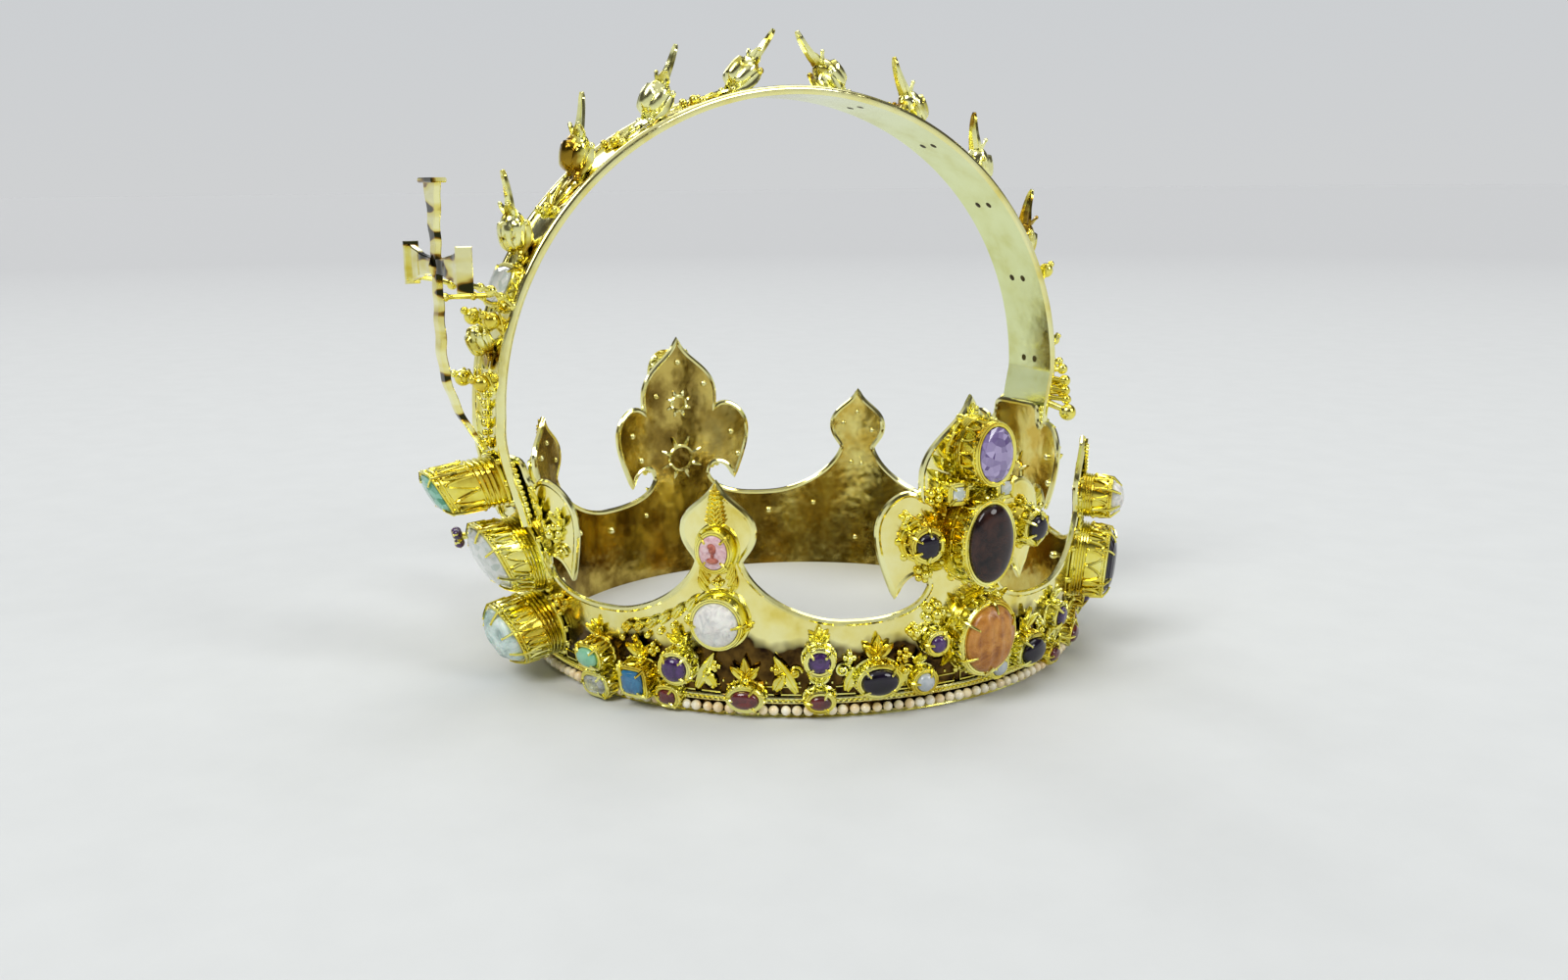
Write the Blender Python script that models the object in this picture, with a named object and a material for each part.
"""A ceremonial crown of polished gilt metal, with its stones and its border of pearls.

Eight lilies, four large and four small, rise from one sheet circlet. An arch with crockets
runs from the front lily to the back one, and a cross stands before its foot. Azimuth 0 is
the front, at -Y, and azimuth 90 is the wearer's left, at +X. Lengths are in millimetres and
become metres in finish; +Z is up, and the crown stands on the underside of its circlet.
"""
import math

import bmesh
import bpy
from mathutils import Matrix, Vector

MM = 0.001
GAP = 0.3

# The circlet: one flaring sheet with a foot, a row of pearls and a fillet over them
FOOT_RADIUS = 99.0
FLARE = 0.155
FLARE_EASE = 0.00087
FRONT_LEAN = 12.0
FRONT_LEAN_SPREAD = 42.0
SHEET = 1.6
DIP_HEIGHT = 32.0
FOOT_LEDGE = 1.2
FOOT_LEDGE_HEIGHT = 0.7
PEARL_DIAMETER = 3.6
PEARL_COUNT = 172
PEARL_STANDOFF = 0.3
FILLET_HEIGHT = 1.8
FILLET_PROUD = 1.4
COLUMNS = 40

# The lilies, measured on the sheet
LARGE_HEIGHT = 102.0
LARGE_PETAL_HALF = 17.4
LARGE_PETAL_HEIGHT = 78.0
LARGE_NOTCH_HEIGHT = 70.0
LARGE_HALF_WIDTH = 31.8
LARGE_WIDEST_HEIGHT = 61.5
LARGE_POINT_HALF = 25.2
LARGE_POINT_HEIGHT = 40.0
LARGE_NECK_HALF = 12.8
LARGE_NECK_HEIGHT = 42.0
SMALL_HEIGHT = 77.5
SMALL_HALF_WIDTH = 11.6
SMALL_WIDEST_HEIGHT = 62.0
SMALL_NECK_HALF = 6.9
SMALL_NECK_HEIGHT = 52.0
TAB_HEIGHT = 79.0
TAB_HALF_WIDTH = 13.2
TAB_CORNER = 4.0

# The arch
ARCH_WIDTH = 27.0
ARCH_THICKNESS = 1.8
ARCH_RIM = 2.2
ARCH_RIM_PROUD = 1.3
ARCH_OVERHANG = 15.75
ARCH_HALF_SPAN = FOOT_RADIUS + ARCH_OVERHANG
ARCH_FORWARD = 4.75
ARCH_SPRING = 92.5
ARCH_RISE = 106.2
ARCH_FOOT = 57.0
ARCH_LEG_SHARE = 0.14
ARCH_BLEND_LOW = 62.0
ARCH_STATIONS = 20

# The crockets
CROCKETS_PER_SIDE = 4
FIRST_CROCKET_ANGLE = 8.5
FRONT_CROCKET_STEP = 16.6
BACK_CROCKET_STEP = 18.2
LOW_CROCKET_ANGLE = 77.0
LOW_CROCKET_SCALE = 0.8
CROCKET_SIDES = 6

# The cross
CROSS_CENTRE_HEIGHT = 143.0
CROSS_UPPER_ARM = 28.0
CROSS_TOP = CROSS_CENTRE_HEIGHT + CROSS_UPPER_ARM
CROSS_HALF_BAR = 29.0
CROSS_STANDOFF = 17.5
CROSS_FACE_RADIUS = ARCH_HALF_SPAN + ARCH_FORWARD + CROSS_STANDOFF
CROSS_PLATE = 2.2
CROSS_WAIST_HALF = 2.6
CROSS_FLARE_HALF = 7.2
CROSS_CAP = 1.6
CROSS_CAP_PROUD = 1.5
CROSS_FOOT_HEIGHT = 81.5
STEM_FOOT_HALF = 1.3
STEM_WIDEST_HALF = 3.0
STEM_BEND_SHARE = 0.6
STEM_STEPS = 8
BRACE_SIZE = 3.0

# The settings
COLLET_SIDES = 10
SMALL_COLLET_SIDES = 8
SMALL_STONE = 7.0
COLLET_WALL = 1.1
COLLET_SKIRT = 1.0
RECESS = 2.4
FRONT_NOD = 12.0

GILT = (0.94, 0.78, 0.30)
WHITE_PEARL = (0.90, 0.82, 0.74)


def sheet_radius(height, azimuth=180.0):
    """Outside radius of the flaring sheet; the front lily leans out with the arch's front foot."""
    off_front = abs((azimuth + 180.0) % 360.0 - 180.0)
    lean = 0.0
    if off_front < FRONT_LEAN_SPREAD:
        fade = math.cos(math.radians(90.0 * off_front / FRONT_LEAN_SPREAD)) ** 2
        lean = FRONT_LEAN * fade * (height / TAB_HEIGHT) ** 1.6
    return FOOT_RADIUS + FLARE * height - FLARE_EASE * height * height + lean


def sheet_slope(height, azimuth):
    return sheet_radius(height + 0.5, azimuth) - sheet_radius(height - 0.5, azimuth)


def around(azimuth, radius, height):
    """A point by its azimuth in degrees, its radius and its height."""
    turn = math.radians(azimuth)
    return Vector((radius * math.sin(turn), -radius * math.cos(turn), height))


def clear_scene():
    for thing in list(bpy.data.objects):
        bpy.data.objects.remove(thing)


def metal_or_stone(name, colour, roughness, metallic):
    material = bpy.data.materials.new(name)
    material.use_nodes = True
    shader = material.node_tree.nodes["Principled BSDF"]
    shader.inputs["Base Color"].default_value = (*colour, 1.0)
    shader.inputs["Roughness"].default_value = roughness
    shader.inputs["Metallic"].default_value = metallic
    material.diffuse_color = (*colour, 1.0)
    return material


def finish(name, mesh_data, crown, colour, roughness=0.15, metallic=1.0, sharp=35.0):
    """Turn a bmesh in millimetres into a named object in metres, on the crown."""
    bmesh.ops.recalc_face_normals(mesh_data, faces=mesh_data.faces[:])
    bmesh.ops.scale(mesh_data, vec=(MM, MM, MM), verts=mesh_data.verts[:])
    mesh = bpy.data.meshes.new(name)
    mesh_data.to_mesh(mesh)
    mesh_data.free()
    mesh.shade_smooth()
    mesh.set_sharp_from_angle(angle=math.radians(sharp))
    mesh.materials.append(metal_or_stone(name, colour, roughness, metallic))
    piece = bpy.data.objects.new(name, mesh)
    bpy.context.scene.collection.objects.link(piece)
    piece.parent = crown
    return piece


def curve(start, start_pull, end_pull, end, steps):
    """Points of a cubic from start to end, without its first point."""
    points = []
    for step in range(1, steps + 1):
        t = step / steps
        u = 1 - t
        points.append(tuple(
            u ** 3 * start[k] + 3 * u * u * t * start_pull[k]
            + 3 * u * t * t * end_pull[k] + t ** 3 * end[k]
            for k in (0, 1)))
    return points


def cell_half(height):
    """Half the width of one lily's eighth of the circlet."""
    return math.pi / 8 * sheet_radius(height)


def side_petal():
    """Half outline of a large lily from the dip to the notch over its side petal."""
    neck = (LARGE_NECK_HALF, LARGE_NECK_HEIGHT)
    bite = (LARGE_NECK_HALF + 4.4, LARGE_NECK_HEIGHT + 5.2)
    point = (LARGE_POINT_HALF, LARGE_POINT_HEIGHT)
    widest = (LARGE_HALF_WIDTH, LARGE_WIDEST_HEIGHT)
    notch = (LARGE_PETAL_HALF - 0.6, LARGE_NOTCH_HEIGHT)
    dip = (cell_half(DIP_HEIGHT), DIP_HEIGHT)
    points = [dip]
    points += curve(dip, (dip[0] - 16, DIP_HEIGHT - 0.5), (neck[0] + 2, neck[1] - 7), neck, 6)
    points += curve(neck, (neck[0] + 0.4, bite[1] - 1.8), (bite[0] - 2.6, bite[1]), bite, 3)
    points += curve(bite, (bite[0] + 4, bite[1]), (point[0] - 1.6, point[1] + 5), point, 3)
    points += curve(point, (point[0] + 3.4, point[1] + 8), (widest[0], widest[1] - 6.5), widest, 3)
    points += curve(widest, (widest[0], widest[1] + 9), (notch[0] + 4.5, notch[1] + 7), notch, 5)
    return points


def large_outline():
    points = side_petal()
    notch = points[-1]
    widest = (LARGE_PETAL_HALF, LARGE_PETAL_HEIGHT)
    tip = (0.0, LARGE_HEIGHT)
    points += curve(notch, (widest[0] - 0.1, notch[1] + 3), (widest[0], widest[1] - 3), widest, 2)
    points += curve(widest, (widest[0] - 0.5, widest[1] + 12), (3.0, tip[1] - 9.5), tip, 6)
    return points


def tab_outline():
    """The front and back lilies end in a tab, which holds a foot of the arch."""
    points = side_petal()
    notch = points[-1]
    edge = TAB_HALF_WIDTH
    shoulder = (edge, TAB_HEIGHT - TAB_CORNER)
    top = (edge - TAB_CORNER, TAB_HEIGHT)
    points += curve(notch, (edge, notch[1] + 1), (edge, shoulder[1] - 1), shoulder, 2)
    points += curve(shoulder, (edge, TAB_HEIGHT - 1), (edge - 1, TAB_HEIGHT), top, 2)
    points.append((0.0, TAB_HEIGHT))
    return points


def small_outline():
    dip = (cell_half(DIP_HEIGHT), DIP_HEIGHT)
    neck = (SMALL_NECK_HALF, SMALL_NECK_HEIGHT)
    widest = (SMALL_HALF_WIDTH, SMALL_WIDEST_HEIGHT)
    tip = (0.0, SMALL_HEIGHT)
    points = [dip]
    points += curve(dip, (dip[0] - 14, DIP_HEIGHT), (neck[0] + 3.5, neck[1] - 11), neck, 6)
    points += curve(neck, (neck[0] + 0.5, neck[1] + 2.5), (widest[0], widest[1] - 5), widest, 3)
    points += curve(widest, (widest[0] - 0.2, widest[1] + 7.5), (1.8, tip[1] - 6.5), tip, 5)
    return points


def circlet_levels():
    """Heights at which the sheet is cut: the foot, the fillet over the pearls and the flare."""
    pearl_top = FOOT_LEDGE_HEIGHT + PEARL_DIAMETER + 2 * GAP
    return [FOOT_LEDGE_HEIGHT, pearl_top, pearl_top + FILLET_HEIGHT, 30.0, 52.0, 74.0]


def build_circlet(crown):
    """Lay the outline out flat as angle and height, cut it in columns, and wrap it round."""
    flat = bmesh.new()
    for index in range(8):
        kind = (tab_outline, small_outline, large_outline, small_outline)[index % 4]
        half = kind()
        centre = index * math.pi / 4
        right = [(centre + x / sheet_radius(z), z) for x, z in half]
        left = [(centre - x / sheet_radius(z), z) for x, z in reversed(half)]
        edge = math.pi / 8
        outline = [(centre - edge, 0.0), (centre + edge, 0.0)] + right + left[1:]
        corners = [flat.verts.new((angle * FOOT_RADIUS, 0.0, z)) for angle, z in outline]
        flat.faces.new(corners)
    whole_turn = 2 * math.pi * FOOT_RADIUS
    for level in circlet_levels():
        bmesh.ops.bisect_plane(flat, geom=flat.verts[:] + flat.edges[:] + flat.faces[:],
                               plane_co=(0, 0, level), plane_no=(0, 0, 1), dist=1e-4)
    for column in range(COLUMNS):
        at = (column / COLUMNS - 1 / 16) * whole_turn
        bmesh.ops.bisect_plane(flat, geom=flat.verts[:] + flat.edges[:] + flat.faces[:],
                               plane_co=(at, 0, 0), plane_no=(1, 0, 0), dist=1e-4)
    bmesh.ops.remove_doubles(flat, verts=flat.verts[:], dist=1e-3)
    bmesh.ops.triangulate(flat, faces=flat.faces[:])
    levels = circlet_levels()

    def proud(low, high):
        if high <= levels[0] + 1e-3:
            return FOOT_LEDGE
        if low >= levels[1] - 1e-3 and high <= levels[2] + 1e-3:
            return FILLET_PROUD
        return 0.0

    ring = bmesh.new()
    made = {}

    def wrapped(vert, out):
        turn = round(vert.co.x / whole_turn, 6) % 1.0
        key = (round(turn * 1e5) % 100000, round(vert.co.z, 3), round(out, 3))
        if key not in made:
            azimuth = 360 * turn
            radius = sheet_radius(vert.co.z, azimuth) + out
            made[key] = ring.verts.new(around(azimuth, radius, vert.co.z))
        return made[key]

    def place(corners):
        if len(set(corners)) > 2:
            ring.faces.new(corners)

    outs = {}
    for face in flat.faces:
        heights = [vert.co.z for vert in face.verts]
        outs[face] = proud(min(heights), max(heights))
        place([wrapped(vert, outs[face]) for vert in face.verts])
        place([wrapped(vert, -SHEET) for vert in reversed(face.verts)])
    seam = {}
    for edge in flat.edges:
        ends = frozenset((wrapped(edge.verts[0], -SHEET), wrapped(edge.verts[1], -SHEET)))
        seam.setdefault(ends, []).extend((edge, face) for face in edge.link_faces)
    for pairs in seam.values():
        edge, first = pairs[0]
        a, b = edge.verts
        if len(pairs) == 1:
            place([wrapped(a, outs[first]), wrapped(b, outs[first]), wrapped(b, -SHEET), wrapped(a, -SHEET)])
        elif outs[first] != outs[pairs[1][1]]:
            low, high = outs[first], outs[pairs[1][1]]
            place([wrapped(a, low), wrapped(b, low), wrapped(b, high), wrapped(a, high)])
    flat.free()
    bmesh.ops.triangulate(ring, faces=ring.faces[:])
    finish("circlet", ring, crown, GILT)


def sweep(rings, closed=False):
    """Bridge equal rings of points into one closed body, with fans over its two ends."""
    body = bmesh.new()
    rows = [[body.verts.new(point) for point in ring] for ring in rings]
    count = len(rows[0])
    pairs = list(zip(rows, rows[1:]))
    if closed:
        pairs.append((rows[-1], rows[0]))
    for low, high in pairs:
        for k in range(count):
            n = (k + 1) % count
            body.faces.new((low[k], low[n], high[n], high[k]))
    if not closed:
        for row in (rows[0], rows[-1]):
            body.faces.new(row)
    return body


def build_pearls(crown):
    """The row of pearls as one beaded ring of four-sided beads."""
    centre_radius = FOOT_RADIUS + GAP + PEARL_STANDOFF + PEARL_DIAMETER / 2
    centre_height = FOOT_LEDGE_HEIGHT + GAP + PEARL_DIAMETER / 2
    half = PEARL_DIAMETER / 2
    rings = []
    for step in range(2 * PEARL_COUNT):
        reach = half if step % 2 == 0 else half * 0.62
        azimuth = 180 * step / PEARL_COUNT
        rings.append([around(azimuth, centre_radius + reach * math.cos(math.radians(turn)),
                             centre_height + reach * math.sin(math.radians(turn)))
                      for turn in (0, 90, 180, 270)])
    finish("pearl_border", sweep(rings, closed=True), crown, WHITE_PEARL, 0.25, 0.0, 60.0)


def arch_line(parameter):
    """The arch's inner face from foot to foot as (along Y, height), for -1 to 1."""
    side = -1 if parameter < 0 else 1
    share = abs(parameter)
    spring = 1 - ARCH_LEG_SHARE
    if share <= spring:
        turn = math.radians(90 * share / spring)
        return side * ARCH_HALF_SPAN * math.sin(turn) - ARCH_FORWARD, ARCH_SPRING + ARCH_RISE * math.cos(turn)
    height = ARCH_SPRING - (share - spring) / ARCH_LEG_SHARE * (ARCH_SPRING - ARCH_FOOT)
    on_lily = sheet_radius(height, 90.0 + 90.0 * side) + GAP
    at_spring = ARCH_HALF_SPAN - side * ARCH_FORWARD
    blend = max(0.0, (height - ARCH_BLEND_LOW) / (ARCH_SPRING - ARCH_BLEND_LOW)) ** 2
    return side * (on_lily + (at_spring - on_lily) * blend), height


def leg_share(height):
    """The arch's parameter, without its sign, at a height on a leg."""
    return 1 - ARCH_LEG_SHARE * (height - ARCH_FOOT) / (ARCH_SPRING - ARCH_FOOT)


def arch_frame(parameter):
    """Inner point, direction towards the back and outward normal, in the YZ plane."""
    step = 1e-4
    y, z = arch_line(parameter)
    before = Vector(arch_line(max(-1.0, parameter - step)))
    after = Vector(arch_line(min(1.0, parameter + step)))
    along = (after - before).normalized()
    return Vector((0, y, z)), Vector((0, along.x, along.y)), Vector((0, -along.y, along.x))


def build_arch(crown):
    half = ARCH_WIDTH / 2
    floor = ARCH_THICKNESS
    rim_top = ARCH_THICKNESS + ARCH_RIM_PROUD
    section = [(half, 0), (half, rim_top), (half - ARCH_RIM, rim_top), (half - ARCH_RIM - 0.5, floor)]
    section += [(-x, n) for x, n in reversed(section)]
    rings = []
    for step in range(-ARCH_STATIONS, ARCH_STATIONS + 1):
        point, _, normal = arch_frame(step / ARCH_STATIONS)
        rings.append([point + Vector((x, 0, 0)) + normal * n for x, n in section])
    finish("arch", sweep(rings), crown, GILT)


def arch_seat(angle, side):
    """Frame on the arch's outer floor: across, towards the top, outward, and its place."""
    share = angle / 90 * (1 - ARCH_LEG_SHARE)
    point, along, normal = arch_frame(side * share)
    if side > 0:
        along = -along
    return Matrix((Vector((1, 0, 0)), along, normal)).transposed(), point + normal * ARCH_THICKNESS


# A crocket's stations: along the arch, out from it, half width across, half thickness
CROCKET_STATIONS = (
    (-9.0, 1.5, 1.8, 0.8),
    (-6.6, 3.4, 4.3, 2.6),
    (-3.0, 6.0, 5.4, 4.6),
    (1.2, 7.8, 5.6, 5.4),
    (4.9, 10.0, 4.2, 4.0),
    (6.6, 12.2, 2.3, 1.3),
    (8.8, 15.0, 3.6, 0.9),
    (11.6, 17.6, 3.2, 0.8),
    (14.5, 21.2, 0.7, 0.4),
)


CLOSED_BUD_STATIONS = CROCKET_STATIONS[:5] + ((7.6, 12.8, 1.0, 0.9),)


def build_crocket(name, angle, side, stations, scale, crown):
    turn, place = arch_seat(angle, side)
    line = [Vector((0, t, n)) * scale for t, n, _, _ in stations]
    rings = []
    for k, (_, _, across, thick) in enumerate(stations):
        before = line[max(0, k - 1)]
        after = line[min(len(line) - 1, k + 1)]
        heading = (after - before).normalized()
        rise = heading.cross(Vector((1, 0, 0)))
        ring = []
        for corner in range(CROCKET_SIDES):
            bend = 2 * math.pi * corner / CROCKET_SIDES
            offset = Vector((across * math.cos(bend), 0, 0)) + rise * thick * math.sin(bend)
            ring.append(place + turn @ (line[k] + offset * scale + Vector((0, 0, GAP))))
        rings.append(ring)
    finish(name, sweep(rings), crown, GILT)


def stem_depth(height):
    """How far the cross's back lies from the axis, at each height down to its foot."""
    back = CROSS_FACE_RADIUS - CROSS_PLATE
    bend_top = CROSS_FOOT_HEIGHT + STEM_BEND_SHARE * (CROSS_CENTRE_HEIGHT - CROSS_FOOT_HEIGHT)
    if height >= bend_top:
        return back
    share = (bend_top - height) / (bend_top - CROSS_FOOT_HEIGHT)
    foot_point, _, _ = arch_frame(-leg_share(CROSS_FOOT_HEIGHT))
    foot = -foot_point.y + ARCH_THICKNESS + 2 * GAP
    return back + (foot - back) * share ** 2.2


def stem_half(share):
    """Half the stem's width, from its narrow foot to its widest place and up to the waist."""
    if share < STEM_BEND_SHARE:
        return STEM_FOOT_HALF + (STEM_WIDEST_HALF - STEM_FOOT_HALF) * share / STEM_BEND_SHARE
    narrowing = (share - STEM_BEND_SHARE) / (1 - STEM_BEND_SHARE)
    return STEM_WIDEST_HALF + (CROSS_WAIST_HALF - STEM_WIDEST_HALF) * narrowing


def cross_half_outline():
    """Half of the cross's outline as (x, height), from its foot to its top."""
    low = CROSS_CENTRE_HEIGHT - CROSS_FLARE_HALF
    high = CROSS_CENTRE_HEIGHT + CROSS_FLARE_HALF
    neck = CROSS_WAIST_HALF
    end = CROSS_HALF_BAR
    stem = []
    for step in range(STEM_STEPS):
        share = step / STEM_STEPS
        stem.append((stem_half(share), CROSS_FOOT_HEIGHT + share * (low - CROSS_FOOT_HEIGHT)))
    return stem + [
        (neck + 0.4, CROSS_CENTRE_HEIGHT - neck - 0.4),
        (end * 0.55, CROSS_CENTRE_HEIGHT - neck - 1.1), (end - CROSS_CAP, low + 0.6), (end, low),
        (end, high), (end - CROSS_CAP, high - 0.6), (end * 0.55, CROSS_CENTRE_HEIGHT + neck + 1.1),
        (neck + 0.4, CROSS_CENTRE_HEIGHT + neck + 0.4), (neck + 1.2, CROSS_CENTRE_HEIGHT + CROSS_UPPER_ARM / 2),
        (CROSS_FLARE_HALF - 0.6, CROSS_TOP - CROSS_CAP), (CROSS_FLARE_HALF, CROSS_TOP),
    ]


def build_cross(crown):
    """A flat cross with deeper caps on its three ends, on a stem that bends back to the arch."""
    right = cross_half_outline()
    left = [(-x, z) for x, z in reversed(right)]
    flat = bmesh.new()
    flat.faces.new([flat.verts.new((x, 0, z)) for x, z in right + left])
    cuts = [((0, 0, CROSS_TOP - CROSS_CAP), (0, 0, 1)),
            ((CROSS_HALF_BAR - CROSS_CAP, 0, 0), (1, 0, 0)),
            ((CROSS_CAP - CROSS_HALF_BAR, 0, 0), (1, 0, 0))]
    cuts += [((0, 0, z), (0, 0, 1)) for _, z in right[1:STEM_STEPS]]
    for place, normal in cuts:
        bmesh.ops.bisect_plane(flat, geom=flat.verts[:] + flat.edges[:] + flat.faces[:],
                               plane_co=place, plane_no=normal, dist=1e-4)
    bmesh.ops.triangulate(flat, faces=flat.faces[:])
    body = bmesh.new()
    made = {}

    def corner(vert, layer, cap):
        key = (vert.index, layer, cap)
        if key not in made:
            depth = stem_depth(vert.co.z) + layer * CROSS_PLATE
            depth += (CROSS_CAP_PROUD if layer else -CROSS_CAP_PROUD) * cap
            made[key] = body.verts.new((vert.co.x, -depth, vert.co.z))
        return made[key]

    flat.verts.index_update()
    caps = {}
    for face in flat.faces:
        middle = face.calc_center_median()
        caps[face] = int(middle.z > CROSS_TOP - CROSS_CAP or abs(middle.x) > CROSS_HALF_BAR - CROSS_CAP)
        body.faces.new([corner(vert, 1, caps[face]) for vert in face.verts])
        body.faces.new([corner(vert, 0, caps[face]) for vert in reversed(face.verts)])

    def wall_side(vert, cap):
        """The wall's corners at one vertex, front to back, with those of a shallower neighbour."""
        stepped = cap and any(caps[face] == 0 for face in vert.link_faces)
        inner = [corner(vert, 1, 0), corner(vert, 0, 0)] if stepped else []
        return [corner(vert, 1, cap)] + inner + [corner(vert, 0, cap)]

    for edge in flat.edges:
        a, b = edge.verts
        around_edge = [caps[face] for face in edge.link_faces]
        if len(around_edge) == 1:
            cap = around_edge[0]
            body.faces.new(wall_side(a, cap) + wall_side(b, cap)[::-1])
        elif around_edge[0] != around_edge[1]:
            for layer in (0, 1):
                body.faces.new((corner(a, layer, 0), corner(b, layer, 0), corner(b, layer, 1), corner(a, layer, 1)))
    flat.free()
    bmesh.ops.triangulate(body, faces=body.faces[:])
    finish("cross", body, crown, GILT, sharp=20.0)


def build_brace(crown):
    """A short strut from the cross to the arch, midway between the two lowest crockets."""
    half = BRACE_SIZE / 2
    lowest_large = FIRST_CROCKET_ANGLE + FRONT_CROCKET_STEP * (CROCKETS_PER_SIDE - 1)
    middle = math.radians((lowest_large + LOW_CROCKET_ANGLE) / 2)
    height = ARCH_SPRING + ARCH_RISE * math.cos(middle)
    front = -(stem_depth(height) - GAP)
    rise = (height - half - ARCH_SPRING) / (ARCH_RISE + ARCH_THICKNESS)
    back = -(ARCH_HALF_SPAN + ARCH_THICKNESS) * math.sqrt(1 - rise * rise) - ARCH_FORWARD - 2 * GAP
    ends = []
    for y in (front, back):
        ends.append([Vector((x * half, y, height + z * half)) for x, z in ((-1, -1), (1, -1), (1, 1), (-1, 1))])
    finish("cross_brace", sweep(ends), crown, GILT)


def sheet_seat(azimuth, height):
    """Frame on the sheet's outside: round, up the sheet, outward, and its place."""
    turn = math.radians(azimuth)
    round_way = Vector((math.cos(turn), math.sin(turn), 0))
    out = around(azimuth, 1.0, 0.0)
    up = (out * sheet_slope(height, azimuth) + Vector((0, 0, 1))).normalized()
    place = around(azimuth, sheet_radius(height, azimuth), height)
    return Matrix((round_way, up, round_way.cross(up))).transposed(), place


def oval(half_width, half_height, sides, squareness):
    """Corners of an oval; squareness 1 is an ellipse, and less is closer to a box."""
    points = []
    for k in range(sides):
        turn = 2 * math.pi * (k + 0.5) / sides
        c = math.cos(turn)
        s = math.sin(turn)
        points.append((half_width * math.copysign(abs(c) ** squareness, c),
                       half_height * math.copysign(abs(s) ** squareness, s)))
    return points


def on_sheet(azimuth, height, x, y):
    """The point GAP off the sheet, x round it and y up it from a seat."""
    z = height + y
    there = azimuth + math.degrees(x / sheet_radius(z, azimuth))
    return around(there, sheet_radius(z, there) + GAP, z)


def collet_sides(size):
    return COLLET_SIDES if max(size) > SMALL_STONE else SMALL_COLLET_SIDES


def build_setting(name, seat, base, size, depth, cut, colour, crown, roughness, squareness):
    """A tall collet of gilt sheet with a recess, and the stone that sits in the recess."""
    turn, place = seat
    base_points, base_centre = base
    half_width, half_height = size
    sides = collet_sides(size)

    def ring(grow, level, shrink=1.0):
        points = oval(half_width * shrink + grow, half_height * shrink + grow, sides, squareness)
        return [place + turn @ Vector((x, y, level)) for x, y in points]

    floor = depth - RECESS
    body = bmesh.new()
    rings = [base_points, ring(COLLET_WALL, depth), ring(0.0, depth), ring(-0.5, floor)]
    rows = [[body.verts.new(point) for point in row] for row in rings]
    for low, high in zip(rows, rows[1:]):
        for k in range(sides):
            n = (k + 1) % sides
            body.faces.new((low[k], low[n], high[n], high[k]))
    body.faces.new(rows[-1])
    centre = body.verts.new(base_centre)
    for k in range(sides):
        body.faces.new((rows[0][k], rows[0][(k + 1) % sides], centre))
    bmesh.ops.triangulate(body, faces=body.faces[:])
    finish(name + "_collet", body, crown, GILT)

    low = floor + GAP
    small = min(half_width, half_height)
    if cut == "faceted":
        rows = [ring(-0.5 - 1.4 * GAP, low), ring(-1.3 * GAP, depth + 0.4), ring(0.0, depth + 0.35 * small, 0.62)]
    else:
        rows = [ring(-0.5 - 1.4 * GAP, low), ring(-1.3 * GAP, depth + 0.2), ring(0.0, depth + 0.38 * small, 0.74),
                ring(0.0, depth + 0.54 * small, 0.36)]
    stone = sweep(rows)
    bmesh.ops.triangulate(stone, faces=stone.faces[:])
    finish(name + "_stone", stone, crown, colour, roughness, 0.0, 25.0 if cut == "faceted" else 60.0)


def build_sheet_jewel(name, azimuth, height, size, depth, cut, colour, crown,
                      roughness=0.08, squareness=1.0, nod=0.0, lift=0.0, skirt=COLLET_SKIRT):
    """A jewel on the sheet; nod turns its face down by some degrees, and lift sets it higher."""
    reach = COLLET_WALL + skirt
    points = oval(size[0] + reach, size[1] + reach, collet_sides(size), squareness)
    turn, place = sheet_seat(azimuth, height)
    base = [on_sheet(azimuth, height, x, y) for x, y in points], place + turn @ Vector((0, 0, 2.5 * GAP))
    place = place + turn @ Vector((0, lift, 0))
    turn = turn @ Matrix.Rotation(math.radians(nod), 3, "X")
    build_setting(name, (turn, place), base, size, depth, cut, colour, crown, roughness, squareness)


def build_foot_jewel(name, side, height, size, depth, cut, colour, crown,
                     roughness=0.08, squareness=1.0, nod=0.0, lift=0.0):
    """A jewel on the outer floor of a foot of the arch, its face turned and set as on the sheet."""
    point, along, normal = arch_frame(side * leg_share(height))
    if side > 0:
        along = -along
    turn = Matrix((Vector((1, 0, 0)), along, normal)).transposed()
    place = point + normal * (ARCH_THICKNESS + 1.5 * GAP)
    points = oval(size[0] + COLLET_WALL, size[1] + COLLET_WALL, collet_sides(size), squareness)
    base = [place + turn @ Vector((x, y, 0)) for x, y in points], place
    place = place + turn @ Vector((0, lift, 0))
    turn = turn @ Matrix.Rotation(math.radians(nod), 3, "X")
    build_setting(name, (turn, place), base, size, depth, cut, colour, crown, roughness, squareness)


AMETHYST = (0.34, 0.22, 0.55)
SMOKY = (0.10, 0.05, 0.05)
CORAL = (0.80, 0.38, 0.24)
EMERALD = (0.22, 0.62, 0.45)
PALE = (0.78, 0.84, 0.80)
GREY = (0.70, 0.70, 0.70)
CAMEO = (0.80, 0.55, 0.50)
INK = (0.03, 0.03, 0.08)
GARNET = (0.35, 0.04, 0.06)
SAPPHIRE = (0.10, 0.16, 0.50)


def build_side_lily_jewels(name, azimuth, top, middle, low, crown):
    build_sheet_jewel(name + "_top", azimuth, 86.0, (6.4, 8.8), 13.0, "faceted", top, crown)
    build_sheet_jewel(name + "_middle", azimuth, 58.0, (8.4, 12.8), 12.0, "cabochon", middle, crown)
    build_sheet_jewel(name + "_low", azimuth + 3, 24.5, (9.8, 11.6), 8.0, "cabochon", low, crown, 0.35)


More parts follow.
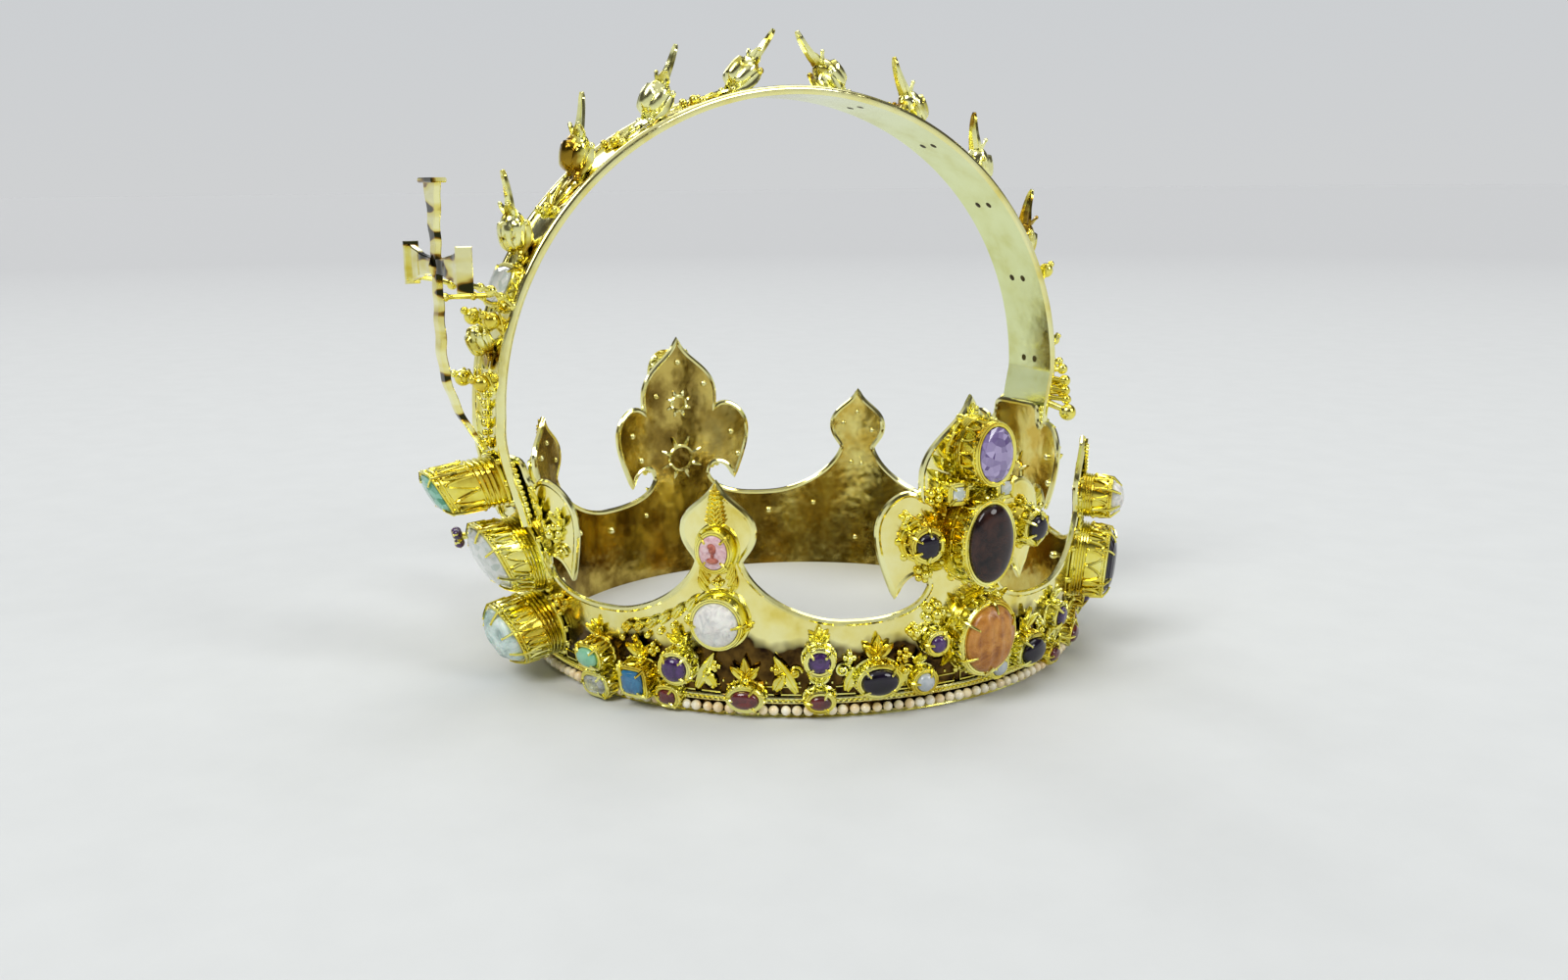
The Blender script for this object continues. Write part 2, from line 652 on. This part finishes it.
def build_jewels(crown):
    """The large stones, lily by lily, with the names of the stones' colours."""
    build_side_lily_jewels("left", 90, AMETHYST, SMOKY, CORAL, crown)
    build_side_lily_jewels("right", 270, SAPPHIRE, GARNET, PALE, crown)
    build_foot_jewel("front_top", -1, 71.5, (6.4, 7.4), 22.0, "faceted", EMERALD, crown,
                     squareness=0.6, nod=FRONT_NOD, lift=8.5)
    build_sheet_jewel("front_middle", 0, 44.0, (11.6, 11.6), 14.0, "faceted", PALE, crown,
                      squareness=0.8, nod=FRONT_NOD, lift=6.5, skirt=0.0)
    build_sheet_jewel("front_low", 0, 19.2, (12.5, 10.2), 16.5, "cabochon", GREY, crown, 0.3,
                      nod=FRONT_NOD, lift=4.0, skirt=0.0)
    build_foot_jewel("back_top", 1, 68.0, (6.0, 7.0), 7.0, "cabochon", AMETHYST, crown)
    build_sheet_jewel("back_middle", 180, 44.0, (9.0, 10.4), 10.0, "faceted", SMOKY, crown)
    build_sheet_jewel("back_low", 180, 19.2, (10.5, 9.2), 8.0, "cabochon", SAPPHIRE, crown)
    for name, azimuth, upper, lower in (("front_left", 45, CAMEO, GREY), ("front_right", 315, CAMEO, GARNET)):
        build_sheet_jewel(name + "_upper", azimuth, 56.5, (4.6, 5.6), 4.5, "cabochon", upper, crown, 0.25)
        build_sheet_jewel(name + "_lower", azimuth, 33.0, (7.4, 7.4), 5.0, "cabochon", lower, crown, 0.35)
    for name, azimuth, upper, lower in (("back_left", 135, GREY, INK), ("back_right", 225, EMERALD, CORAL)):
        build_sheet_jewel(name + "_upper", azimuth, 57.0, (5.2, 5.8), 11.0, "cabochon", upper, crown, 0.2)
        build_sheet_jewel(name + "_lower", azimuth, 33.5, (8.4, 11.2), 12.0, "faceted", lower, crown, squareness=0.7)
    for name, offset in (("left_side_front", -9.8), ("left_side_back", 13.0)):
        build_sheet_jewel(name, 90 + offset, 58.0, (4.3, 4.3), 7.0, "cabochon", INK, crown)


def build_crockets(crown):
    for side_name, side, step in (("front", -1, FRONT_CROCKET_STEP), ("back", 1, BACK_CROCKET_STEP)):
        for number in range(CROCKETS_PER_SIDE):
            angle = FIRST_CROCKET_ANGLE + step * number
            build_crocket(f"crocket_{side_name}_{number + 1}", angle, side, CROCKET_STATIONS, 1.0, crown)
        build_crocket(f"crocket_{side_name}_low", LOW_CROCKET_ANGLE, side, CLOSED_BUD_STATIONS,
                      LOW_CROCKET_SCALE, crown)


def centre_on_floor(crown):
    """Put the middle of the whole crown's box over the origin."""
    bpy.context.view_layer.update()
    points = [piece.matrix_world @ Vector(corner) for piece in crown.children for corner in piece.bound_box]
    for axis in (0, 1):
        values = [point[axis] for point in points]
        crown.location[axis] -= (min(values) + max(values)) / 2


def main():
    clear_scene()
    crown = bpy.data.objects.new("crown_axis", None)
    bpy.context.scene.collection.objects.link(crown)
    build_circlet(crown)
    build_pearls(crown)
    build_arch(crown)
    build_cross(crown)
    build_brace(crown)
    build_crockets(crown)
    build_jewels(crown)
    centre_on_floor(crown)
    bpy.context.view_layer.update()


main()
